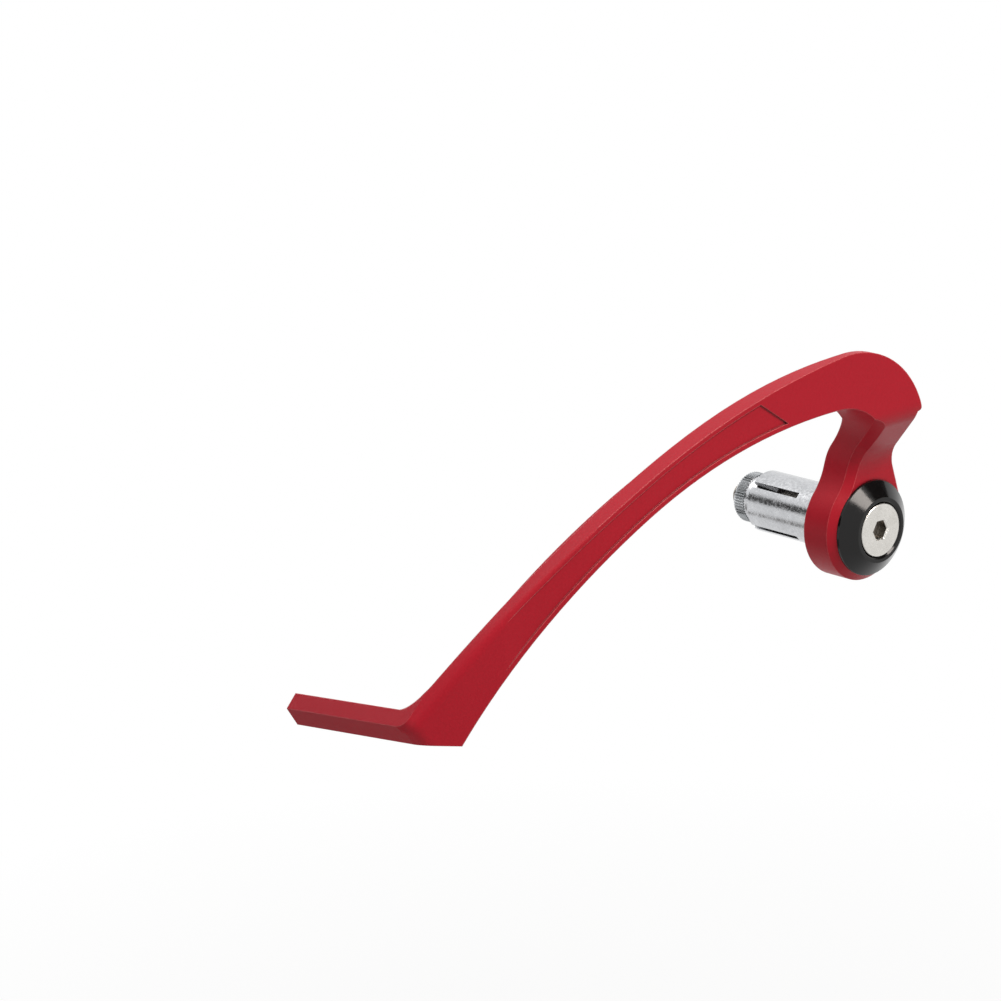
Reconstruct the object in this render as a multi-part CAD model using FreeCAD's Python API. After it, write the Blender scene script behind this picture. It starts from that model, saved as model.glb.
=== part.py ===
import FreeCAD, Part
import os
import math
from FreeCAD import Vector

# Bar-end lever guard, right hand. Millimetres.
# The origin is on the bolt axis, where the end of the handlebar tube meets the sleeve's shoulder.
# X points outward along the bolt, Y to the rear, Z up. The bow runs forward, so towards -Y.

# Bolt
bolt_d = 8.0
head_d = 15.8
head_rim = 0.4
head_bevel = 0.25
socket_af = 5.0
socket_depth = 3.0
tip_reach = 3.0
tip_chamfer = 1.0

# Expander sleeve
sleeve_d = 18.4
sleeve_len = 26.6
sleeve_bevel = 0.8
shoulder_d = 20.6
shoulder_t = 1.3
groove_d = 19.2
groove_t = 0.5
flange_d = 22.6
flange_t = 2.0
slot_count = 4
slot_w = 1.8
slot_len = 19.0
slot_turn = 47.0
mouth_room = 2.1

# Taper nut
nut_d = 14.4
nut_band = 4.6
nut_bevel_len = 1.5
nut_end_d = 11.2
cone_len = 9.0
cone_half_angle = 12.0
nut_standoff = 2.0

# Cap washer
cap_d = 28.0
cap_top_d = 19.2
cap_rim = 0.8
cap_h = 4.3
head_sink = 0.1

# Clearances
bolt_gap = 0.4
thread_gap = 0.05
seat_gap = 0.15
cone_gap = 0.45

# Boss and arm
boss_r = 16.0
boss_t = 11.0
boss_bevel = 2.2
arm_root = 16.0
arm_in_root = 18.0
arm_out_bend = 12.0
arm_in_bend = 10.0
arm_out_slope = 45.0
arm_in_slope = 38.0
shoulder_round = 8.0

# Side outline of the bow
crown_r = 26.7
crown_y = -21.7
crown_z = 29.6
bow_r = 239.4
bow_lean = 11.4
throat_r = 18.5
web_h_crown = 14.3
web_h_mid = 9.1
web_h_end = 15.3
crown_station = 12.6
mid_station = 31.3
end_station = 49.9
nose_y = -164.8

# Plan of the bow
overhang = 14.6
plan_lean = 4.5
plan_bend_y = -95.0
plan_bend_r = 215.0
channel_depth = 15.0
brow_round = 0.3
brow_start_y = -112.0
brow_nose_round = 4.5
nose_round = 4.5

# Walls of the channel
web_t = 2.6
ledge_t = 2.6
lip_t = 2.4
lip_depth = 5.7
lip_nose_depth = 3.2
lip_start_y = -26.0
lip_full_y = -50.0
channel_round = 2.5

# Label recess in the outer face, left bare
recess_depth = 0.5
recess_edge = 1.4
recess_front_y = -145.0
recess_rear_y = -46.6
recess_slant = 10.0
recess_run = 20.0

# Hook
hook_len = 55.3
hook_drop = 8.5
hook_back = 1.9
hook_face = 4.9
hook_w = 9.0
hook_rear_top = 0.5
hook_rear_low = 5.0
hook_down = 5.4
hook_low_y = 3.6
hook_tip = 1.6
gusset_r = 8.5

# Stations along the bolt
boss_in = shoulder_t + groove_t + flange_t
boss_out = boss_in + boss_t
face_x = boss_out + overhang
sleeve_end = -sleeve_len
nut_face = sleeve_end - nut_standoff
nut_end = nut_face - nut_band - nut_bevel_len
tip_x = nut_end - tip_reach
cap_top = boss_out + cap_h
head_x = cap_top - head_sink
bolt_r = bolt_d / 2
head_base = head_x - head_rim - (head_d / 2 - bolt_r)
bore_r = bolt_r + bolt_gap
far = 400.0


def at(y, z):
    return Vector(0, y, z)


def circle_point(centre, radius, angle):
    a = math.radians(angle)
    return Vector(0, centre.y + radius * math.cos(a), centre.z + radius * math.sin(a))


def on_circle_y(centre, radius, y):
    return Vector(0, y, centre.z + math.sqrt(radius ** 2 - (y - centre.y) ** 2))


def angle_about(centre, point):
    return math.degrees(math.atan2(point.z - centre.z, point.y - centre.y))


def line(a, b):
    return Part.LineSegment(a, b).toShape()


def arc(a, b, c):
    return Part.Arc(a, b, c).toShape()


def bend(a, b, centre, radius):
    # Shorter arc about a centre from point a to point b in the side view.
    m = (a + b) * 0.5 - centre
    return arc(a, centre + m * (radius / m.Length), b)


def solid_of(edges, direction):
    return Part.Face(Part.Wire(edges)).extrude(direction)


def chain(points):
    # Straight edges from each point to the next.
    return [line(a, b) for a, b in zip(points, points[1:])]


def meet_circles(c1, r1, c2, r2, side):
    d = c2 - c1
    a = (r1 ** 2 - r2 ** 2 + d.Length ** 2) / (2 * d.Length)
    h = math.sqrt(r1 ** 2 - a ** 2)
    u = d * (1 / d.Length)
    return c1 + u * a + Vector(0, -u.z, u.y) * (h * side)


def circle_through(a, b, c):
    centre = arc(a, b, c).Curve.Center
    return centre, (a - centre).Length


def spun(points):
    # Turned solid about the bolt axis from (x, radius) points.
    pts = [Vector(x, 0, r) for x, r in points]
    face = Part.Face(Part.makePolygon(pts + [pts[0]]))
    return face.revolve(Vector(0, 0, 0), Vector(1, 0, 0), 360)


def across(edges):
    # Side-view outline carried straight through the part along X.
    made = solid_of(edges, Vector(2 * far, 0, 0))
    made.translate(Vector(-far, 0, 0))
    return made


def upright(edges):
    # Plan outline carried straight through the part along Z.
    made = solid_of(edges, Vector(0, 0, 2 * far))
    made.translate(Vector(0, 0, -far))
    return made


# Side outline: boss, throat, inner arc, outer arc, crown and the straight rear edge of the arm.
origin = Vector(0, 0, 0)
crown_c = at(crown_y, crown_z)
lean = math.radians(bow_lean)
outer_c = crown_c + at(math.sin(lean), -math.cos(lean)) * (bow_r - crown_r)
crown_join = circle_point(outer_c, bow_r, 90 + bow_lean)
p_crown = circle_point(outer_c, bow_r - web_h_crown, 90 + crown_station)
p_mid = circle_point(outer_c, bow_r - web_h_mid, 90 + mid_station)
heel = circle_point(outer_c, bow_r - web_h_end, 90 + end_station)
inner_c, inner_r = circle_through(p_crown, p_mid, heel)
throat_c = meet_circles(origin, boss_r + throat_r, inner_c, inner_r - throat_r, -1)
boss_front = throat_c * (boss_r / throat_c.Length)
throat_top = inner_c + (throat_c - inner_c) * (inner_r / (throat_c - inner_c).Length)
rear_angle = angle_about(origin, crown_c)
rear_angle -= math.degrees(math.acos((boss_r - crown_r) / crown_c.Length))
boss_rear = circle_point(origin, boss_r, rear_angle)
crown_rear = circle_point(crown_c, crown_r, rear_angle)
boss_low = circle_point(origin, boss_r, rear_angle - 120)
nose = on_circle_y(outer_c, bow_r, nose_y)
nose_low = nose + at(hook_low_y, -hook_down)
past_nose = circle_point(outer_c, bow_r, angle_about(outer_c, nose) + 4)
past_heel = circle_point(inner_c, inner_r, angle_about(inner_c, heel) + 4)

side = across([
    arc(boss_rear, boss_low, boss_front),
    bend(boss_front, throat_top, throat_c, throat_r),
    bend(throat_top, past_heel, inner_c, inner_r),
    line(past_heel, past_nose),
    bend(past_nose, crown_join, outer_c, bow_r),
    bend(crown_join, crown_rear, crown_c, crown_r),
    line(crown_rear, boss_rear),
])

# Plan of the outer face: straight from the crown, then bending inward towards the nose.
tilt = math.radians(plan_lean)
along = Vector(-math.sin(tilt), -math.cos(tilt), 0)
inward = Vector(-math.cos(tilt), math.sin(tilt), 0)
bend_start = Vector(face_x, 0, 0) + along * (plan_bend_y / along.y)
bend_c = bend_start + inward * plan_bend_r


def plan_line(depth):
    # Start, bend and end points of the outer face's plan, moved inward by a depth.
    r = plan_bend_r - depth
    first = bend_start - along * far * 0.5 + inward * depth
    second = bend_start + inward * depth
    third = bend_c - inward * (r * math.cos(0.3)) + along * (r * math.sin(0.3))
    fourth = bend_c - inward * (r * math.cos(0.6)) + along * (r * math.sin(0.6))
    return first, second, third, fourth


def plan_point(y, depth):
    # Point at a depth behind the outer face, in plan.
    if y > plan_bend_y:
        return Vector(face_x + math.tan(tilt) * y - depth / math.cos(tilt), y, 0)
    r = plan_bend_r - depth
    return Vector(bend_c.x + math.sqrt(r ** 2 - (y - bend_c.y) ** 2), y, 0)


def depth_of(point):
    # How far a point lies behind the outer face.
    flat = Vector(point.x, point.y, 0)
    if (flat - bend_start).dot(along) < 0:
        return (flat - bend_start).dot(inward)
    return plan_bend_r - (flat - bend_c).Length


def plan_slab(depth_a, depth_b):
    # Upright slab between two depths behind the outer face.
    a1, a2, a3, a4 = plan_line(depth_a)
    b1, b2, b3, b4 = plan_line(depth_b)
    return upright([line(a1, a2), arc(a2, a3, a4), line(a4, b4), arc(b4, b3, b2), line(b2, b1), line(b1, a1)])


# Arm: the boss plate bends outward to carry the bow clear of the bar end.
arm_top = inner_c.z + inner_r
deep = plan_bend_r * 0.5


def beyond_bend(x, root, radius, slope):
    # Room outward of a front-view edge that rises straight, bends outward and goes on at a slope.
    s = math.radians(slope)
    a = Vector(x, 0, root)
    b = Vector(x + radius * (1 - math.cos(s / 2)), 0, root + radius * math.sin(s / 2))
    c = Vector(x + radius * (1 - math.cos(s)), 0, root + radius * math.sin(s))
    d = c + Vector(math.tan(s), 0, 1) * (arm_top - c.z)
    low = Vector(x, 0, -far)
    low_far = Vector(far, 0, -far)
    top_far = Vector(far, 0, arm_top)
    edges = [line(low, a), arc(a, b, c), line(c, d), line(d, top_far), line(top_far, low_far), line(low_far, low)]
    made = solid_of(edges, Vector(0, 2 * far, 0))
    made.translate(Vector(0, throat_c.y - throat_r * 0.5, 0))
    return made


arm_room = beyond_bend(boss_in, arm_in_root, arm_in_bend, arm_in_slope)
arm_relief = beyond_bend(boss_out, arm_root, arm_out_bend, arm_out_slope)
bow_bar = side.common(plan_slab(0, channel_depth)).cut(arm_relief)
arm_bar = side.common(arm_room).common(plan_slab(0, deep)).cut(arm_relief)
guard = bow_bar.fuse(arm_bar).removeSplitter()


def edges_where(shape, test):
    # Edges whose two quarter points and middle all pass a test.
    found = []
    for e in shape.Edges:
        first, last = e.FirstParameter, e.LastParameter
        if all(test(e.valueAt(first + (last - first) * share)) for share in (0.25, 0.5, 0.75)):
            found.append(e)
    return found


# Soft shoulder where the arm's slope meets the outer face.
slope = math.radians(arm_out_slope)
slope_start = Vector(boss_out + arm_out_bend * (1 - math.cos(slope)), 0, arm_root + arm_out_bend * math.sin(slope))
slope_normal = Vector(math.cos(slope), 0, -math.sin(slope))


def on_shoulder(p):
    return abs(depth_of(p)) < 0.01 and abs((p - slope_start).dot(slope_normal)) < 0.01


guard = guard.makeFillet(shoulder_round, edges_where(guard, on_shoulder))

# Block ahead of the nose, cut away along the hook's direction.
hook_ridge = circle_point(outer_c, bow_r, angle_about(outer_c, nose) - math.degrees(hook_face / bow_r))
hook_rear = nose + at(hook_w, hook_rear_top)
hook_way = Vector(-hook_len, hook_back, -hook_drop)
hook_x = plan_point(nose_y, 0).x


def sheared(points, start, end):
    # Side-view polygon carried along the hook's direction, between two shares of the hook's length.
    made = solid_of(chain(points + points[:1]), hook_way * (end - start))
    made.translate(Vector(hook_x, 0, 0) + hook_way * start)
    return made


past_ridge = nose + (hook_ridge - nose) * (far / hook_face)
under_heel = nose_low + (heel - nose_low) * 2
ahead = sheared([
    under_heel,
    nose_low,
    nose,
    past_ridge,
    at(past_ridge.y, far),
    at(-far, far),
    at(-far, -far),
    at(under_heel.y, -far),
], -1, 1)

# Edges taken off the outer face: crisp brow that grows rounder towards the nose, round nose, bevelled arm.


def on_brow(p):
    return p.y < brow_start_y and abs(depth_of(p)) < 0.01 and (at(p.y, p.z) - outer_c).Length > bow_r - 0.01


def on_nose(p):
    ahead_of_low = p.y < nose_low.y and (at(p.y, p.z) - outer_c).Length < bow_r - 0.05
    return ahead_of_low and abs(depth_of(p)) < 0.01


def on_rim(p):
    return abs(p.x - boss_out) < 0.01 and abs(at(p.y, p.z).Length - boss_r) < 0.01


def between(y_low, y_high):
    # Room between two stations along the bow.
    return Part.makeBox(2 * far, y_high - y_low, 2 * far, Vector(-far, y_low, -far))


rim_cut = arm_bar.cut(arm_bar.makeChamfer(boss_bevel, edges_where(arm_bar, on_rim)))
front = bow_bar.cut(ahead).common(between(-far, brow_start_y))
front = front.makeFillet(brow_nose_round, brow_round, edges_where(front, on_brow))
front = front.makeFillet(nose_round, edges_where(front, on_nose))
guard = guard.cut(rim_cut).common(between(brow_start_y, far)).fuse(front).removeSplitter()

# Channel behind the outer face: a wide ledge below, a narrow lip above that fades out at the crown.
# It ends forward at a wall between the hook's ridge and the ledge.
ledge_r = inner_r + ledge_t
crest = inner_c + at(0, ledge_r)
floor_front = circle_point(inner_c, ledge_r, angle_about(inner_c, heel))
above_floor = across([bend(floor_front, crest, inner_c, ledge_r)] + chain([
    crest,
    at(far, crest.z),
    at(far, far),
    at(hook_ridge.y, far),
    hook_ridge,
    floor_front,
]))
roof_r = bow_r - lip_t
roof_front = on_circle_y(outer_c, roof_r, nose_y)
roof_end = on_circle_y(outer_c, roof_r, crown_y)
under_lip = across([bend(roof_front, roof_end, outer_c, roof_r)] + chain([
    roof_end,
    at(crown_y, -far),
    at(nose_y, -far),
    roof_front,
]))
lip_points = [
    plan_point(hook_ridge.y, lip_nose_depth),
    plan_point((nose_y + plan_bend_y) / 2, (lip_nose_depth + lip_depth) / 2),
    plan_point(plan_bend_y, lip_depth),
    plan_point(lip_full_y, lip_depth),
    plan_point(lip_start_y, web_t),
]
lip_curve = Part.BSplineCurve()
lip_curve.interpolate(lip_points)
rear_web = plan_line(web_t)[0]
hook_far = lip_points[0] + Vector(hook_way.x, hook_way.y, 0) * (far / hook_len)
behind_lip = upright([lip_curve.toShape()] + chain([
    lip_points[-1],
    rear_web,
    Vector(hook_far.x, rear_web.y, 0),
    hook_far,
    lip_points[0],
]))


def on_lip_corner(p):
    return (Vector(p.x, p.y, 0) - lip_points[0]).Length < 0.01


def on_root(p):
    low = abs((at(p.y, p.z) - inner_c).Length - ledge_r) if p.y < inner_c.y else abs(p.z - crest.z)
    return low < 0.01 and abs(depth_of(p) - web_t) < 0.01


hook_section = [
    nose,
    hook_ridge,
    hook_rear,
    nose + at(hook_w, -hook_rear_low),
    nose_low,
]
behind_lip = behind_lip.makeFillet(gusset_r, edges_where(behind_lip, on_lip_corner))
channel = above_floor.common(under_lip).common(plan_slab(web_t, deep))
channel = channel.fuse(above_floor.common(behind_lip)).removeSplitter()
channel = channel.makeFillet(channel_round, edges_where(channel, on_root))
hook = sheared(hook_section, -1, 1)
guard = guard.cut(channel.cut(hook))

# Hook: a five-sided bar sheared inward and down from the nose. Its top face carries on the bow's outer arc.
hook_end = hook_x + hook_way.x


def on_hook_end(p):
    return abs(p.x - hook_end) < 0.01


above_hook = sheared([hook_ridge, hook_rear, at(hook_rear.y, far), at(hook_ridge.y, far)], -1, 1)
hook = hook.makeChamfer(hook_tip, edges_where(hook, on_hook_end)).common(plan_slab(channel_depth, deep))
guard = guard.cut(above_hook.common(behind_lip)).fuse(hook).removeSplitter()

# Shallow bare panel in the outer face, a little inside its two edges. It runs out to nothing at the front.
panel_low_r = inner_r + recess_edge
panel_high_r = bow_r - recess_edge
low_front = on_circle_y(inner_c, panel_low_r, recess_front_y)
low_rear = on_circle_y(inner_c, panel_low_r, recess_rear_y)
high_front = on_circle_y(outer_c, panel_high_r, recess_front_y)
high_rear = on_circle_y(outer_c, panel_high_r, recess_rear_y - recess_slant)
panel = across([
    bend(low_front, low_rear, inner_c, panel_low_r),
    line(low_rear, high_rear),
    bend(high_rear, high_front, outer_c, panel_high_r),
    line(high_front, low_front),
])
run_start = plan_point(recess_front_y + recess_run, recess_depth)
run_end = plan_point(recess_front_y, -recess_depth)
run_back = plan_point(recess_front_y, recess_run)
run_out = upright(chain([run_start, run_end, run_back, run_start]))
guard = guard.cut(panel.common(plan_slab(-recess_depth, recess_depth)).cut(run_out))

# Room for the bolt: clearance bore and a cone that follows the flat head.
cone_out = seat_gap * math.sqrt(2)
seat_x = head_base + bolt_gap - cone_out
room_top = cap_top + cap_h
bolt_room = spun([
    (tip_x, 0),
    (tip_x, bore_r),
    (seat_x, bore_r),
    (room_top, bore_r + room_top - seat_x),
    (room_top, 0),
])
guard = guard.cut(bolt_room)

cap_washer = spun([
    (boss_out, 0),
    (boss_out, cap_d / 2),
    (boss_out + cap_rim, cap_d / 2),
    (cap_top, cap_top_d / 2),
    (cap_top, 0),
]).cut(bolt_room)

clamp_bolt = spun([
    (tip_x, 0),
    (tip_x, bolt_r - tip_chamfer),
    (tip_x + tip_chamfer, bolt_r),
    (head_base, bolt_r),
    (head_x - head_rim, head_d / 2),
    (head_x - head_bevel, head_d / 2),
    (head_x, head_d / 2 - head_bevel),
    (head_x, 0),
])
hexagon = []
socket_r = socket_af / math.sqrt(3)
for k in range(6):
    a = math.radians(60 * k)
    hexagon.append(Vector(head_x - socket_depth, socket_r * math.cos(a), socket_r * math.sin(a)))
clamp_bolt = clamp_bolt.cut(solid_of(chain(hexagon + hexagon[:1]), Vector(2 * socket_depth, 0, 0)))

# Expander sleeve: flange, groove and shoulder outside the tube, then a slotted body with a coned mouth.
taper = math.tan(math.radians(cone_half_angle))
cone_gap_out = cone_gap / math.cos(math.radians(cone_half_angle))
mouth_end = sleeve_end + cone_len - nut_standoff + mouth_room


def mouth_r(x):
    return nut_d / 2 - (x - nut_face) * taper + cone_gap_out


expander_sleeve = spun([
    (boss_in, 0),
    (boss_in, flange_d / 2),
    (boss_in - flange_t, flange_d / 2),
    (boss_in - flange_t, groove_d / 2),
    (shoulder_t, groove_d / 2),
    (shoulder_t, shoulder_d / 2),
    (0, shoulder_d / 2),
    (0, sleeve_d / 2),
    (sleeve_end + sleeve_bevel, sleeve_d / 2),
    (sleeve_end, sleeve_d / 2 - sleeve_bevel),
    (sleeve_end, 0),
])
mouth = spun([
    (nut_face, 0),
    (nut_face, mouth_r(nut_face)),
    (mouth_end, mouth_r(mouth_end)),
    (mouth_end, 0),
])
expander_sleeve = expander_sleeve.cut(bolt_room).cut(mouth)
for k in range(slot_count):
    slot = Part.makeBox(slot_len + nut_standoff, sleeve_d, slot_w)
    slot.translate(Vector(nut_face, 0, -slot_w / 2))
    slot.rotate(origin, Vector(1, 0, 0), slot_turn + 360 / slot_count * k)
    expander_sleeve = expander_sleeve.cut(slot)

# Taper nut: smooth cone, round band and a bevelled end.
cone_tip = nut_face + cone_len
taper_nut = spun([
    (cone_tip, bolt_r + thread_gap),
    (cone_tip, nut_d / 2 - cone_len * taper),
    (nut_face, nut_d / 2),
    (nut_face - nut_band, nut_d / 2),
    (nut_end, nut_end_d / 2),
    (nut_end, bolt_r + thread_gap),
])

nodes = {
    "guard_bow": guard,
    "cap_washer": cap_washer,
    "clamp_bolt": clamp_bolt,
    "expander_sleeve": expander_sleeve,
    "taper_nut": taper_nut,
}
os.makedirs("parts", exist_ok=True)
for name, shape in nodes.items():
    shape.exportStep("parts/" + name + ".step")
    print(name, shape.isValid(), len(shape.Solids), round(shape.Volume))
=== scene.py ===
import math

import bmesh
import bpy
from mathutils import Matrix, Vector


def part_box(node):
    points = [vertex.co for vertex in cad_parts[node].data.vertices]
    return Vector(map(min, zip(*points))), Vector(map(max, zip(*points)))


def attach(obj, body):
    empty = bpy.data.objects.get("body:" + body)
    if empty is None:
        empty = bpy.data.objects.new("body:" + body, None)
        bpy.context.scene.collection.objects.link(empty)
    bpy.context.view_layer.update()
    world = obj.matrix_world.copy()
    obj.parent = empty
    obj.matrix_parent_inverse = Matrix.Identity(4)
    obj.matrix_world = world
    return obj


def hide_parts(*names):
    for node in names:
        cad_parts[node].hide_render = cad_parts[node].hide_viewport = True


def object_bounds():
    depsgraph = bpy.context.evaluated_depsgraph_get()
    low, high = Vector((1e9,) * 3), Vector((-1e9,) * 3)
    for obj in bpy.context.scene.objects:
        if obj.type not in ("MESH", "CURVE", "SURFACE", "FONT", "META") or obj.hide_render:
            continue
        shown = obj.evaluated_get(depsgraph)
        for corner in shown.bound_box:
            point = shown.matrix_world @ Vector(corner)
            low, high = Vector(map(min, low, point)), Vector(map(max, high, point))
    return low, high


# Bar-end lever guard: a red moulded bow held by a black cap washer, a flat-head bolt, a slotted sleeve and a
# taper nut.
# Metres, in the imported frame: X outward along the bolt, Y to the rear, Z up, origin on the bolt's axis.

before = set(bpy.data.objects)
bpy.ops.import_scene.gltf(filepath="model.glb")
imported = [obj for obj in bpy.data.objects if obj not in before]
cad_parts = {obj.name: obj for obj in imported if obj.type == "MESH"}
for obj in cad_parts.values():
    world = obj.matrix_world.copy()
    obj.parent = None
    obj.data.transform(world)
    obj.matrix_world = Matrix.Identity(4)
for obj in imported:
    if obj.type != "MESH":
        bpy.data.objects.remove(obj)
cad_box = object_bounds()
MM = 0.001

# Camera, set at the photograph's viewing angle; sensor width and focal length are in millimetres
CAMERA_PLACE = Vector((0.6149, -0.6669, 0.2384))
CAMERA_RIGHT = Vector((0.6587, 0.7524, 0.0))
CAMERA_LOOK = Vector((-0.7284, 0.6377, -0.2504))
SENSOR = 36.0
FOCAL = 115.1

# Floor, below the circle that the bow swings through; it keeps a share of its own shading near the part
SWING = max(
    math.hypot(y, z)
    for y in (cad_box[0][1], cad_box[1][1])
    for z in (cad_box[0][2], cad_box[1][2])
)
FLOOR_GAP = 0.015
FLOOR_HEIGHT = -SWING - FLOOR_GAP
FLOOR_SIZE = 6.0
FLOOR_TONE = 0.5
FLOOR_ROUGHNESS = 0.9
FLOOR_KEEP = 0.12
SHADOW_NEAR = 0.12
SHADOW_FAR = 0.4

# Light: a dim room, lamps aimed at the bow, and dark cards that are seen only in gloss
ROOM_LIGHT = 0.18
ROOM_COLOUR = (0.97, 0.98, 1.0)
AIM = Vector((0.0, -0.06, 0.0))
LAMPS = {
    # name: direction from the aim, distance, width, height, watts, colour
    "key_softbox": ((0.67, 0.12, 0.73), 0.9, 0.42, 0.34, 6.4, (1.0, 0.92, 0.86)),
    "overhead": ((-0.15, -0.25, 1.0), 1.2, 1.1, 1.1, 6.8, (1.0, 0.98, 0.96)),
    "front_fill": ((0.25, -1.0, 0.25), 1.3, 0.9, 0.9, 1.7, (0.96, 0.98, 1.0)),
    "inner_fill": ((-1.0, 0.0, 0.16), 1.3, 0.9, 0.7, 4.5, (1.0, 1.0, 1.0)),
}
HARDWARE = Vector((0.0, 0.0, 0.0))
BESIDE_HOOK = Vector((-0.09, -0.18, 0.0))
CARDS = {
    # name: point that it faces, direction from there, distance, width, height, grey tone
    "low_card": (HARDWARE, (-0.73, -0.64, 0.19), 0.5, 0.7, 0.16, 0.03),
    "rear_card": (HARDWARE, (0.36, 0.68, 0.62), 0.7, 0.5, 0.4, 0.03),
    "hook_card": (BESIDE_HOOK, (0.0, 0.0, -1.0), 0.097, 0.14, 0.18, 0.3),
}

# Straight knurl on the nut's band: the ridges stand on the band's round face, clear of its two bevels
NUT_LOW, NUT_HIGH = (Vector(corner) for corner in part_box("taper_nut"))
NUT_RADIUS = NUT_HIGH.z
KNURL_COUNT = 54
KNURL_START = 1.9 * MM
KNURL_LENGTH = 3.6 * MM
KNURL_RIDGE = 0.36 * MM

# Coarse thread on the bolt's free end; crest and root are shares of the pitch, from the middle of the crest
BOLT_LOW, BOLT_HIGH = (Vector(corner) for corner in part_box("clamp_bolt"))
THREAD_RADIUS = 4.0 * MM
THREAD_PITCH = 1.25 * MM
THREAD_DEPTH = 0.7 * MM
THREAD_LENGTH = 10.0 * MM
THREAD_FADE = 1.2 * MM
THREAD_CREST = 0.06
THREAD_ROOT = 0.44
THREAD_STEPS = 130
THREAD_SIDES = 48
TIP_CHAMFER = 1.0 * MM

# Bevelled mouth of the bolt's socket, within this reach of the axis
SOCKET_REACH = 3.2 * MM
SOCKET_BEVEL = 0.45 * MM

# Gaps within which two points are one or a point lies on a flat, and the angle past which an edge is sharp
MERGE_GAP = 0.002 * MM
FLUSH_GAP = 0.01 * MM
SMOOTH_ANGLE = math.radians(28)

# Painted highlight on edges: cosine between a face and its rounded normal where the highlight starts
# and where it is full, and the share of the highlight that is left where the grain is darkest
EDGE_SAMPLES = 6
EDGE_START = 0.995
EDGE_FULL = 0.90
HIGHLIGHT_LEAST = 0.4

# Painted shade in crevices: open share of the view from a point where the shade starts and where it is full
CREVICE_SAMPLES = 8
CREVICE_START = 0.85
CREVICE_FULL = 0.4

# Grain: fine noise for height and speckle, slow noise for the drift of tone
# Turned grain is closer along the bolt's axis, like the rings that a lathe leaves.
FINE_NOISE = {"Detail": 3.0, "Roughness": 0.6}
SLOW_NOISE = {"Detail": 2.0, "Roughness": 0.5}
SPECKLE_LOW = 0.3
SPECKLE_HIGH = 0.7
GRAIN_DEPTH = 0.2 * MM
EVEN = (1.0, 1.0, 1.0)
TURNED = (6.0, 1.0, 1.0)

# Ejector marks on the inner side of the bow's wall, near the crown and a third of the way to the nose
# The core is the share of the half size within which a mark is full.
MARK_CORE = 0.8
MARK_STRENGTH = 0.3
EJECTOR_MARKS = [
    # centre, half size
    ((23.3 * MM, -44.0 * MM, 45.3 * MM), (1.5 * MM, 1.7 * MM, 2.4 * MM)),
    ((20.7 * MM, -78.0 * MM, 34.6 * MM), (1.5 * MM, 1.7 * MM, 1.6 * MM)),
]


# Helpers for objects, materials and nodes

def add_object(name, data):
    """New object in the scene, at the origin."""
    made = bpy.data.objects.new(name, data)
    bpy.context.scene.collection.objects.link(made)
    return made


def new_material(name):
    """New material, its node tree and its Principled BSDF."""
    material = bpy.data.materials.new(name)
    material.use_nodes = True
    return material, material.node_tree, material.node_tree.nodes["Principled BSDF"]


def node(tree, kind, inputs=None, **settings):
    """New node with its settings and the values of its inputs."""
    made = tree.nodes.new(kind)
    for name, value in settings.items():
        setattr(made, name, value)
    for name, value in (inputs or {}).items():
        made.inputs[name].default_value = value
    return made


def link(tree, source, target):
    tree.links.new(source, target)


def maths(tree, operation, a, b=0.0):
    """Result of a Math node; each of its two values is a socket or a plain number."""
    made = node(tree, "ShaderNodeMath", operation=operation)
    for socket, value in zip(made.inputs, (a, b)):
        if isinstance(value, (int, float)):
            socket.default_value = value
        else:
            link(tree, value, socket)
    return made.outputs[0]


def blend_colour(tree, factor, a, b):
    """Colour between a and b; each is a socket or a plain colour."""
    made = node(tree, "ShaderNodeMix", data_type="RGBA")
    link(tree, factor, made.inputs["Factor"])
    for label, value in (("A", a), ("B", b)):
        if isinstance(value, tuple):
            made.inputs[label].default_value = (*value, 1.0)
        else:
            link(tree, value, made.inputs[label])
    return made.outputs["Result"]


# Effects that several finishes share

def shader_group(name, inputs, outputs):
    """New shader node group with named sockets, its input node and its output node."""
    tree = bpy.data.node_groups.new(name, "ShaderNodeTree")
    for label, kind in inputs:
        tree.interface.new_socket(label, in_out="INPUT", socket_type=kind)
    for label, kind in outputs:
        tree.interface.new_socket(label, in_out="OUTPUT", socket_type=kind)
    return tree, node(tree, "NodeGroupInput"), node(tree, "NodeGroupOutput")


def soft_edge_group():
    """Rounded-looking edges: a normal that turns over each edge, and a mask that is 1 on the edge."""
    tree, given, out = shader_group(
        "soft_edges",
        [("Radius", "NodeSocketFloat")],
        [("Normal", "NodeSocketVector"), ("Edge", "NodeSocketFloat")],
    )
    bevel = node(tree, "ShaderNodeBevel", samples=EDGE_SAMPLES)
    geometry = node(tree, "ShaderNodeNewGeometry")
    alike = node(tree, "ShaderNodeVectorMath", operation="DOT_PRODUCT")
    link(tree, given.outputs["Radius"], bevel.inputs["Radius"])
    link(tree, bevel.outputs["Normal"], alike.inputs[0])
    link(tree, geometry.outputs["Normal"], alike.inputs[1])
    spread = node(tree, "ShaderNodeMapRange", {"From Min": EDGE_START, "From Max": EDGE_FULL})
    link(tree, alike.outputs["Value"], spread.inputs["Value"])
    link(tree, bevel.outputs["Normal"], out.inputs["Normal"])
    link(tree, spread.outputs["Result"], out.inputs["Edge"])
    return tree


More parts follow.
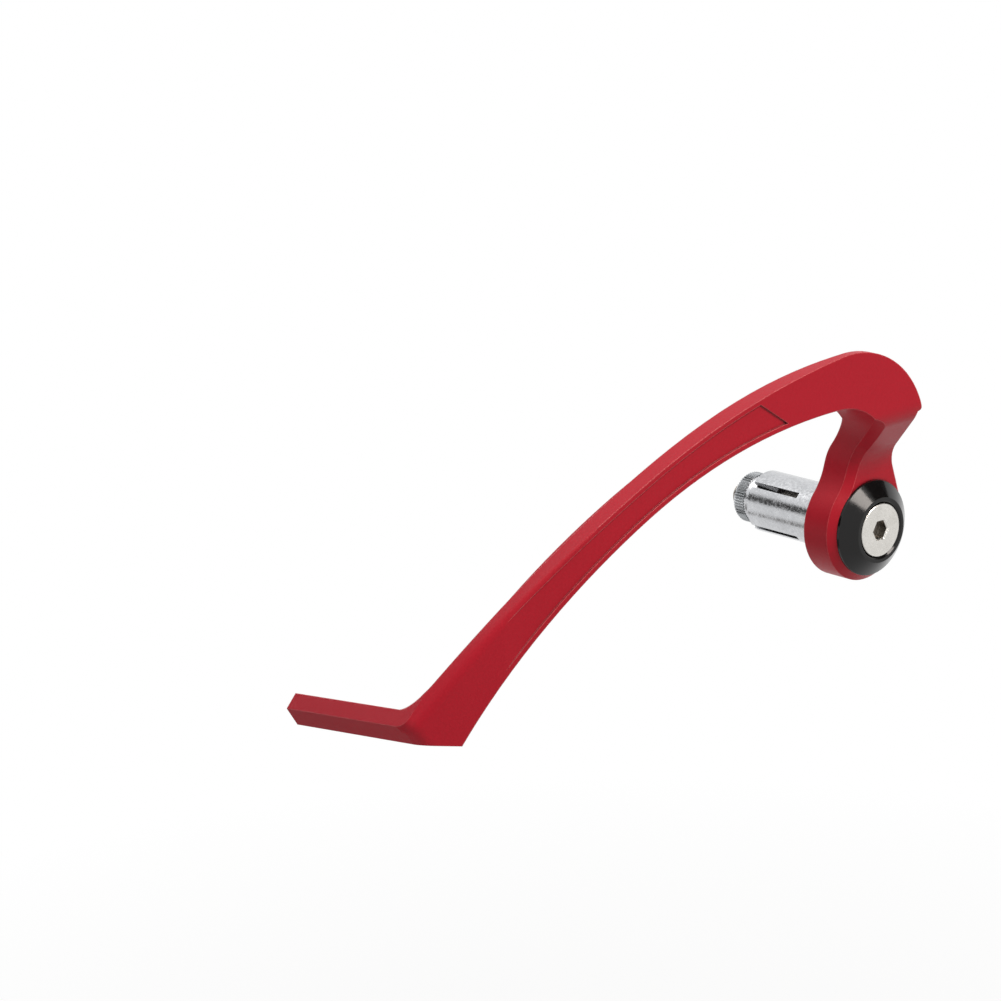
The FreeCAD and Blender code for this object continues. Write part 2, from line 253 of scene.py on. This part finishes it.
def fine_grain_group():
    """Grain on object coordinates: a fine height for bumps, its speckle from 0 to 1, and a slow tone."""
    tree, given, out = shader_group(
        "fine_grain",
        [("Scale", "NodeSocketFloat"), ("Stretch", "NodeSocketVector"), ("Drift", "NodeSocketFloat")],
        [("Height", "NodeSocketFloat"), ("Speckle", "NodeSocketFloat"), ("Tone", "NodeSocketFloat")],
    )
    place = node(tree, "ShaderNodeTexCoord")
    stretched = node(tree, "ShaderNodeVectorMath", operation="MULTIPLY")
    link(tree, place.outputs["Object"], stretched.inputs[0])
    link(tree, given.outputs["Stretch"], stretched.inputs[1])
    fine = node(tree, "ShaderNodeTexNoise", FINE_NOISE)
    link(tree, stretched.outputs["Vector"], fine.inputs["Vector"])
    link(tree, given.outputs["Scale"], fine.inputs["Scale"])
    slow = node(tree, "ShaderNodeTexNoise", SLOW_NOISE)
    link(tree, place.outputs["Object"], slow.inputs["Vector"])
    link(tree, given.outputs["Drift"], slow.inputs["Scale"])
    speckle = node(tree, "ShaderNodeMapRange", {"From Min": SPECKLE_LOW, "From Max": SPECKLE_HIGH})
    link(tree, fine.outputs["Fac"], speckle.inputs["Value"])
    link(tree, fine.outputs["Fac"], out.inputs["Height"])
    link(tree, speckle.outputs["Result"], out.inputs["Speckle"])
    link(tree, slow.outputs["Fac"], out.inputs["Tone"])
    return tree


def crevice_shade_group():
    """Mask of slots, grooves and inner corners for painted shade: 1 deep inside, 0 on open faces."""
    tree, given, out = shader_group(
        "crevices",
        [("Reach", "NodeSocketFloat")],
        [("Crevice", "NodeSocketFloat")],
    )
    around = node(tree, "ShaderNodeAmbientOcclusion", samples=CREVICE_SAMPLES)
    link(tree, given.outputs["Reach"], around.inputs["Distance"])
    closed = node(tree, "ShaderNodeMapRange", {"From Min": CREVICE_START, "From Max": CREVICE_FULL})
    link(tree, around.outputs["AO"], closed.inputs["Value"])
    link(tree, closed.outputs["Result"], out.inputs["Crevice"])
    return tree


def mould_mark_group():
    """Soft-sided rectangle on the part, such as the trace of an ejector pin: 1 inside, 0 outside."""
    tree, given, out = shader_group(
        "mould_mark",
        [("Centre", "NodeSocketVector"), ("Half Size", "NodeSocketVector")],
        [("Mark", "NodeSocketFloat")],
    )
    place = node(tree, "ShaderNodeTexCoord")
    offset = node(tree, "ShaderNodeVectorMath", operation="SUBTRACT")
    link(tree, place.outputs["Object"], offset.inputs[0])
    link(tree, given.outputs["Centre"], offset.inputs[1])
    distance = node(tree, "ShaderNodeVectorMath", operation="ABSOLUTE")
    link(tree, offset.outputs["Vector"], distance.inputs[0])
    share = node(tree, "ShaderNodeVectorMath", operation="DIVIDE")
    link(tree, distance.outputs["Vector"], share.inputs[0])
    link(tree, given.outputs["Half Size"], share.inputs[1])
    parts = node(tree, "ShaderNodeSeparateXYZ")
    link(tree, share.outputs["Vector"], parts.inputs["Vector"])
    wider = maths(tree, "MAXIMUM", parts.outputs["Y"], parts.outputs["Z"])
    widest = maths(tree, "MAXIMUM", parts.outputs["X"], wider)
    soft = node(tree, "ShaderNodeMapRange", {"From Min": 1.0, "From Max": MARK_CORE})
    link(tree, widest, soft.inputs["Value"])
    link(tree, soft.outputs["Result"], out.inputs["Mark"])
    return tree


SOFT_EDGES = soft_edge_group()
FINE_GRAIN = fine_grain_group()
CREVICE_SHADE = crevice_shade_group()
MOULD_MARK = mould_mark_group()


# Finishes

def placed(tree, group, inputs):
    """Shared effect placed in a material, with its own values."""
    return node(tree, "ShaderNodeGroup", inputs, node_tree=group)


def finish(name, dark, light, edge, painted_shade, grain, rough, radius, reach, bump, marks=(), **shader):
    """Material drifting between two tones, with a fine grain, a painted highlight on edges and painted shade
    in crevices.
    """
    material, tree, bsdf = new_material(name)
    for label, value in shader.items():
        bsdf.inputs[label.replace("_", " ")].default_value = value
    scale, stretch, drift = grain
    edges = placed(tree, SOFT_EDGES, {"Radius": radius})
    grains = placed(tree, FINE_GRAIN, {"Scale": scale, "Stretch": stretch, "Drift": drift})
    crevices = placed(tree, CREVICE_SHADE, {"Reach": reach})
    speckle = grains.outputs["Speckle"]

    tone = maths(tree, "DIVIDE", maths(tree, "ADD", grains.outputs["Tone"], speckle), 2.0)
    # Painted highlight: edges paled towards the edge colour, patchy with the speckle
    patchy = maths(tree, "ADD", maths(tree, "MULTIPLY", speckle, 1.0 - HIGHLIGHT_LEAST), HIGHLIGHT_LEAST)
    edge_highlight = maths(tree, "MULTIPLY", edges.outputs["Edge"], patchy)
    colour = blend_colour(tree, tone, dark, light)
    colour = blend_colour(tree, edge_highlight, colour, edge)
    # Painted shade: slots, grooves and inner corners darkened towards the dark crevice colour
    colour = blend_colour(tree, crevices.outputs["Crevice"], colour, painted_shade)
    for centre, half_size in marks:
        mark = placed(tree, MOULD_MARK, {"Centre": centre, "Half Size": half_size})
        faint = maths(tree, "MULTIPLY", mark.outputs["Mark"], MARK_STRENGTH)
        colour = blend_colour(tree, faint, colour, edge)
    link(tree, colour, bsdf.inputs["Base Color"])

    smoothest, roughest = rough
    gloss = node(tree, "ShaderNodeMapRange", {"To Min": smoothest, "To Max": roughest})
    link(tree, speckle, gloss.inputs["Value"])
    link(tree, gloss.outputs["Result"], bsdf.inputs["Roughness"])

    raised = node(tree, "ShaderNodeBump", {"Strength": bump, "Distance": GRAIN_DEPTH})
    link(tree, grains.outputs["Height"], raised.inputs["Height"])
    link(tree, edges.outputs["Normal"], raised.inputs["Normal"])
    link(tree, raised.outputs["Normal"], bsdf.inputs["Normal"])
    return material


# Each grain gives scale, stretch and scale of the drift, and each rough the smoothest and the roughest.
# The dark colour that each finish gives its crevices is painted shade.
# The pale edge colour of each finish is a painted highlight on edges, and also the faint tone of mould
# marks.
red_moulding = finish(
    "red_moulding",
    dark=(0.39, 0.0065, 0.0175),
    light=(0.475, 0.0095, 0.024),
    edge=(0.72, 0.16, 0.17),
    painted_shade=(0.09, 0.004, 0.008),
    grain=(1400.0, EVEN, 26.0),
    rough=(0.36, 0.46),
    radius=0.45 * MM,
    reach=1.2 * MM,
    bump=0.25,
    marks=EJECTOR_MARKS,
    Specular_IOR_Level=0.2,
)
gloss_black = finish(
    "gloss_black",
    dark=(0.003, 0.003, 0.003),
    light=(0.006, 0.005, 0.005),
    edge=(0.02, 0.02, 0.02),
    painted_shade=(0.001, 0.001, 0.001),
    grain=(900.0, EVEN, 40.0),
    rough=(0.10, 0.17),
    radius=0.3 * MM,
    reach=0.6 * MM,
    bump=0.02,
    Specular_IOR_Level=0.3,
)
pale_nickel = finish(
    "pale_nickel",
    dark=(0.52, 0.50, 0.465),
    light=(0.80, 0.78, 0.74),
    edge=(0.95, 0.94, 0.91),
    painted_shade=(0.24, 0.22, 0.195),
    grain=(2600.0, EVEN, 260.0),
    rough=(0.24, 0.38),
    radius=0.25 * MM,
    reach=8.0 * MM,
    bump=0.3,
    Metallic=1.0,
)
bright_zinc = finish(
    "bright_zinc",
    dark=(0.42, 0.425, 0.44),
    light=(0.74, 0.75, 0.77),
    edge=(0.86, 0.87, 0.88),
    painted_shade=(0.06, 0.058, 0.056),
    grain=(1150.0, EVEN, 150.0),
    rough=(0.12, 0.32),
    radius=0.2 * MM,
    reach=2.0 * MM,
    bump=0.13,
    Metallic=1.0,
)
# Darker copy of the zinc for the knurl's ridges: the darkness is painted shade among the ridges
knurl_zinc_painted_shade = finish(
    "knurl_zinc_painted_shade",
    dark=(0.24, 0.252, 0.262),
    light=(0.46, 0.475, 0.488),
    edge=(0.66, 0.68, 0.70),
    painted_shade=(0.10, 0.106, 0.111),
    grain=(1700.0, TURNED, 150.0),
    rough=(0.16, 0.32),
    radius=0.08 * MM,
    reach=0.5 * MM,
    bump=0.2,
    Metallic=1.0,
)

FINISHES = {
    "guard_bow": red_moulding,
    "cap_washer": gloss_black,
    "clamp_bolt": pale_nickel,
    "expander_sleeve": bright_zinc,
    "taper_nut": bright_zinc,
}
for name, material in FINISHES.items():
    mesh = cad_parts[name].data
    mesh.materials.clear()
    mesh.materials.append(material)


# Geometry nodes for knurl and thread

def modelling_tree(name, inputs):
    """New geometry node tree with named inputs, its input node and its output node."""
    tree = bpy.data.node_groups.new(name, "GeometryNodeTree")
    for label, kind in inputs:
        tree.interface.new_socket(label, in_out="INPUT", socket_type=kind)
    tree.interface.new_socket("Geometry", in_out="OUTPUT", socket_type="NodeSocketGeometry")
    return tree, node(tree, "NodeGroupInput"), node(tree, "NodeGroupOutput")


def end_tree(tree, geometry, given, out):
    """Real mesh with its material as the tree's result."""
    real = node(tree, "GeometryNodeRealizeInstances")
    dressed = node(tree, "GeometryNodeSetMaterial")
    link(tree, geometry, real.inputs["Geometry"])
    link(tree, real.outputs["Geometry"], dressed.inputs["Geometry"])
    link(tree, given.outputs["Material"], dressed.inputs["Material"])
    link(tree, dressed.outputs["Geometry"], out.inputs["Geometry"])


def knurl_tree():
    """Straight ridges round a band on the bolt's axis, each a square bar with one corner outward."""
    tree, given, out = modelling_tree("knurl_ridges", [
        ("Count", "NodeSocketInt"),
        ("Radius", "NodeSocketFloat"),
        ("Ridge", "NodeSocketFloat"),
        ("Length", "NodeSocketFloat"),
        ("Middle", "NodeSocketVector"),
        ("Material", "NodeSocketMaterial"),
    ])
    ring = node(tree, "GeometryNodeMeshCircle")
    link(tree, given.outputs["Count"], ring.inputs["Vertices"])
    link(tree, given.outputs["Radius"], ring.inputs["Radius"])
    bar = node(tree, "GeometryNodeMeshCylinder", {"Vertices": 4})
    link(tree, given.outputs["Ridge"], bar.inputs["Radius"])
    link(tree, given.outputs["Length"], bar.inputs["Depth"])
    outward = node(tree, "FunctionNodeAlignRotationToVector", axis="X")
    link(tree, node(tree, "GeometryNodeInputPosition").outputs["Position"], outward.inputs["Vector"])
    ridges = node(tree, "GeometryNodeInstanceOnPoints")
    link(tree, ring.outputs["Mesh"], ridges.inputs["Points"])
    link(tree, bar.outputs["Mesh"], ridges.inputs["Instance"])
    link(tree, outward.outputs["Rotation"], ridges.inputs["Rotation"])
    laid = node(tree, "GeometryNodeTransform", {"Rotation": (0.0, math.radians(90), 0.0)})
    link(tree, ridges.outputs["Instances"], laid.inputs["Geometry"])
    link(tree, given.outputs["Middle"], laid.inputs["Translation"])
    end_tree(tree, laid.outputs["Geometry"], given, out)
    return tree


def thread_tree():
    """Closed threaded rod end along X: a grid rolled into a tube that follows the thread and the chamfer."""
    tree, given, out = modelling_tree("thread_end", [
        ("Steps", "NodeSocketInt"),
        ("Sides", "NodeSocketInt"),
        ("Radius", "NodeSocketFloat"),
        ("Pitch", "NodeSocketFloat"),
        ("Depth", "NodeSocketFloat"),
        ("Length", "NodeSocketFloat"),
        ("Fade", "NodeSocketFloat"),
        ("Chamfer", "NodeSocketFloat"),
        ("Tip", "NodeSocketFloat"),
        ("Material", "NodeSocketMaterial"),
    ])
    size = given.outputs

    # The unit grid lies round its middle, so half a unit is added to count from 0 to 1.
    grid = node(tree, "GeometryNodeMeshGrid", {"Size X": 1.0, "Size Y": 1.0})
    link(tree, size["Steps"], grid.inputs["Vertices X"])
    link(tree, size["Sides"], grid.inputs["Vertices Y"])
    spot = node(tree, "ShaderNodeSeparateXYZ")
    link(tree, node(tree, "GeometryNodeInputPosition").outputs["Position"], spot.inputs["Vector"])
    share = maths(tree, "ADD", spot.outputs["X"], 0.5)
    turn = maths(tree, "ADD", spot.outputs["Y"], 0.5)

    # The first and the last row close the rod's two ends, so they share a place with the row beside them.
    row = maths(tree, "DIVIDE", 1.0, maths(tree, "SUBTRACT", size["Steps"], 1.0))
    inner = maths(tree, "MINIMUM", maths(tree, "MAXIMUM", share, row), maths(tree, "SUBTRACT", 1.0, row))
    span = maths(tree, "SUBTRACT", 1.0, maths(tree, "MULTIPLY", row, 2.0))
    inner_share = maths(tree, "DIVIDE", maths(tree, "SUBTRACT", inner, row), span)
    along = maths(tree, "MULTIPLY", inner_share, size["Length"])
    edge_gap = maths(tree, "MINIMUM", share, maths(tree, "SUBTRACT", 1.0, share))
    is_wall = maths(tree, "GREATER_THAN", edge_gap, maths(tree, "MULTIPLY", row, 0.5))

    # Groove: 0 on the crest, 1 in the root, running out towards the shank.
    turns = maths(tree, "SUBTRACT", maths(tree, "DIVIDE", along, size["Pitch"]), turn)
    wave = maths(tree, "PINGPONG", turns, 0.5)
    groove = node(tree, "ShaderNodeMapRange", {"From Min": THREAD_CREST, "From Max": THREAD_ROOT})
    link(tree, wave, groove.inputs["Value"])
    left = maths(tree, "DIVIDE", maths(tree, "SUBTRACT", size["Length"], along), size["Fade"])
    full_cut = maths(tree, "MULTIPLY", groove.outputs["Result"], size["Depth"])
    cut = maths(tree, "MULTIPLY", full_cut, maths(tree, "MINIMUM", left, 1.0))
    threaded = maths(tree, "SUBTRACT", size["Radius"], cut)
    chamfered = maths(tree, "ADD", maths(tree, "SUBTRACT", size["Radius"], size["Chamfer"]), along)
    radius = maths(tree, "MULTIPLY", maths(tree, "MINIMUM", threaded, chamfered), is_wall)

    angle = maths(tree, "MULTIPLY", turn, math.tau)
    rolled = node(tree, "ShaderNodeCombineXYZ")
    link(tree, maths(tree, "ADD", along, size["Tip"]), rolled.inputs["X"])
    link(tree, maths(tree, "MULTIPLY", radius, maths(tree, "COSINE", angle)), rolled.inputs["Y"])
    link(tree, maths(tree, "MULTIPLY", radius, maths(tree, "SINE", angle)), rolled.inputs["Z"])
    tube = node(tree, "GeometryNodeSetPosition")
    link(tree, grid.outputs["Mesh"], tube.inputs["Geometry"])
    link(tree, rolled.outputs["Vector"], tube.inputs["Position"])
    closed = node(tree, "GeometryNodeMergeByDistance", {"Distance": MERGE_GAP})
    link(tree, tube.outputs["Geometry"], closed.inputs["Geometry"])
    outward = node(tree, "GeometryNodeFlipFaces")
    link(tree, closed.outputs["Geometry"], outward.inputs["Mesh"])
    end_tree(tree, outward.outputs["Mesh"], given, out)
    return tree


def shaped(name, tree, **sizes):
    """Object whose mesh is the result of a geometry node tree with the given sizes, in one material."""
    piece = add_object(name, bpy.data.meshes.new(name))
    modifier = piece.modifiers.new("shape", "NODES")
    modifier.node_group = tree
    for item in tree.interface.items_tree:
        if item.in_out == "INPUT":
            modifier[item.identifier] = sizes[item.name]
    done = piece.evaluated_get(bpy.context.evaluated_depsgraph_get())
    mesh = bpy.data.meshes.new_from_object(done)

    # The bare mesh can leave an empty slot in front, so the slots are set afresh.
    mesh.materials.clear()
    mesh.materials.append(sizes["Material"])
    mesh.polygons.foreach_set("material_index", [0] * len(mesh.polygons))
    piece.modifiers.clear()
    piece.data = mesh
    return piece


# Knurl of the nut

knurl = shaped(
    "nut_knurl",
    knurl_tree(),
    Count=KNURL_COUNT,
    Radius=NUT_RADIUS,
    Ridge=KNURL_RIDGE,
    Length=KNURL_LENGTH,
    Middle=Vector((NUT_LOW.x + KNURL_START + KNURL_LENGTH / 2, 0.0, 0.0)),
    Material=knurl_zinc_painted_shade,
)
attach(knurl, "nut")


# Bolt with its thread

def soften(mesh):
    """Smooth shading that breaks at the sharp edges, in place of the normals that came with the solid."""
    if "custom_normal" in mesh.attributes:
        mesh.attributes.remove(mesh.attributes["custom_normal"])
    mesh.polygons.foreach_set("use_smooth", [True] * len(mesh.polygons))
    mesh.set_sharp_from_angle(angle=SMOOTH_ANGLE)


def socket_mouth(shape):
    """Edges of the hexagon where the socket opens in the flat of the head."""
    def on_mouth(vertex):
        x, y, z = vertex.co
        return abs(x - BOLT_HIGH.x) < FLUSH_GAP and math.hypot(y, z) < SOCKET_REACH

    return [
        edge
        for edge in shape.edges
        if all(on_mouth(vertex) for vertex in edge.verts)
        and not edge.is_boundary
        and edge.calc_face_angle(0.0) > SMOOTH_ANGLE
    ]


def threaded_bolt():
    """The bolt with a real thread: its solid cut off above the thread, and a threaded end for the rest."""
    piece = shaped(
        "threaded_bolt",
        thread_tree(),
        Steps=THREAD_STEPS,
        Sides=THREAD_SIDES + 1,
        Radius=THREAD_RADIUS,
        Pitch=THREAD_PITCH,
        Depth=THREAD_DEPTH,
        Length=THREAD_LENGTH,
        Fade=THREAD_FADE,
        Chamfer=TIP_CHAMFER,
        Tip=BOLT_LOW.x,
        Material=pale_nickel,
    )
    shank = bmesh.new()
    shank.from_mesh(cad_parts["clamp_bolt"].data)
    bmesh.ops.remove_doubles(shank, verts=shank.verts, dist=MERGE_GAP)
    bmesh.ops.bisect_plane(
        shank,
        geom=shank.verts[:] + shank.edges[:] + shank.faces[:],
        plane_co=(BOLT_LOW.x + THREAD_LENGTH, 0.0, 0.0),
        plane_no=(1.0, 0.0, 0.0),
        clear_inner=True,
    )
    bmesh.ops.holes_fill(shank, edges=[edge for edge in shank.edges if edge.is_boundary])
    bmesh.ops.bevel(shank, geom=socket_mouth(shank), offset=SOCKET_BEVEL, segments=1, affect="EDGES")
    shank.from_mesh(piece.data)
    shank.to_mesh(piece.data)
    shank.free()
    soften(piece.data)
    return piece


bolt = threaded_bolt()
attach(bolt, "bolt")
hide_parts("clamp_bolt")


# Camera

def aim_camera():
    """Camera at the viewing angle, made the scene's own."""
    data = bpy.data.cameras.new("camera")
    data.sensor_width = SENSOR
    data.lens = FOCAL
    camera = add_object("camera", data)
    back = -CAMERA_LOOK.normalized()
    right = CAMERA_RIGHT.normalized()
    up = back.cross(right)
    turn = Matrix((right, up, back)).transposed().to_4x4()
    camera.matrix_world = Matrix.Translation(CAMERA_PLACE) @ turn
    bpy.context.scene.camera = camera


# Floor, backdrop and light

def seen_ray(tree):
    """1 for rays that show the background: from the camera, in gloss or through glass."""
    path = node(tree, "ShaderNodeLightPath")
    either = maths(tree, "MAXIMUM", path.outputs["Is Camera Ray"], path.outputs["Is Glossy Ray"])
    return maths(tree, "MAXIMUM", either, path.outputs["Is Transmission Ray"])


def panel(name, width, height, place, material):
    """Flat rectangle with its place in its mesh."""
    x, y = width / 2, height / 2
    mesh = bpy.data.meshes.new(name)
    mesh.from_pydata([(-x, -y, 0), (x, -y, 0), (x, y, 0), (-x, y, 0)], [], [(0, 1, 2, 3)])
    mesh.transform(place)
    mesh.materials.append(material)
    return add_object(name, mesh)


def lay_floor():
    """Pale floor that looks white, with a share of its own shading kept near the part for the shadow."""
    material, tree, bsdf = new_material("pale_floor")
    bsdf.inputs["Base Color"].default_value = (FLOOR_TONE, FLOOR_TONE, FLOOR_TONE, 1.0)
    bsdf.inputs["Roughness"].default_value = FLOOR_ROUGHNESS
    away = node(tree, "ShaderNodeVectorMath", operation="DISTANCE")
    away.inputs[1].default_value = AIM
    link(tree, node(tree, "ShaderNodeTexCoord").outputs["Object"], away.inputs[0])
    kept = node(tree, "ShaderNodeMapRange", {
        "From Min": SHADOW_NEAR,
        "From Max": SHADOW_FAR,
        "To Min": FLOOR_KEEP,
        "To Max": 0.0,
    })
    link(tree, away.outputs["Value"], kept.inputs["Value"])
    glow = node(tree, "ShaderNodeEmission")
    glowing = maths(tree, "SUBTRACT", 1.0, kept.outputs["Result"])
    mix = node(tree, "ShaderNodeMixShader")
    link(tree, maths(tree, "MULTIPLY", seen_ray(tree), glowing), mix.inputs["Fac"])
    link(tree, bsdf.outputs["BSDF"], mix.inputs[1])
    link(tree, glow.outputs["Emission"], mix.inputs[2])
    link(tree, mix.outputs["Shader"], tree.nodes["Material Output"].inputs["Surface"])
    place = Matrix.Translation((0.0, 0.0, FLOOR_HEIGHT))
    floor = panel("floor", FLOOR_SIZE, FLOOR_SIZE, place, material)


def light_world():
    """White where the background is seen, and a dim room for the rest of the light."""
    world = bpy.data.worlds.new("studio")
    world.use_nodes = True
    bpy.context.scene.world = world
    tree = world.node_tree
    room = tree.nodes["Background"]
    room.inputs["Color"].default_value = (*ROOM_COLOUR, 1.0)
    room.inputs["Strength"].default_value = ROOM_LIGHT
    white = node(tree, "ShaderNodeBackground", {"Color": (1.0, 1.0, 1.0, 1.0), "Strength": 1.0})
    mix = node(tree, "ShaderNodeMixShader")
    link(tree, seen_ray(tree), mix.inputs["Fac"])
    link(tree, room.outputs["Background"], mix.inputs[1])
    link(tree, white.outputs["Background"], mix.inputs[2])
    link(tree, mix.outputs["Shader"], tree.nodes["World Output"].inputs["Surface"])


def facing(way, distance, target):
    """Place at a distance from a target, turned towards it."""
    way = Vector(way).normalized()
    return Matrix.Translation(target + way * distance) @ way.to_track_quat("Z", "Y").to_matrix().to_4x4()


def hang_lamps():
    """Area lamps, all turned to the aim."""
    for name, (way, distance, width, height, watts, colour) in LAMPS.items():
        data = bpy.data.lights.new(name, "AREA")
        data.shape = "RECTANGLE"
        data.size = width
        data.size_y = height
        data.energy = watts
        data.color = colour
        lamp = add_object(name, data)
        lamp.matrix_world = facing(way, distance, AIM)


def hang_cards():
    """Dark cards that draw the bands in the gloss, as a studio's unlit corners do."""
    for name, (target, way, distance, width, height, tone) in CARDS.items():
        material, _, bsdf = new_material(name)
        bsdf.inputs["Base Color"].default_value = (tone, tone, tone, 1.0)
        card = panel(name, width, height, facing(way, distance, target), material)
        card.visible_camera = False
        card.visible_diffuse = False
        card.visible_shadow = False


aim_camera()
lay_floor()
light_world()
hang_lamps()
hang_cards()
bpy.context.scene.view_settings.view_transform = "Standard"
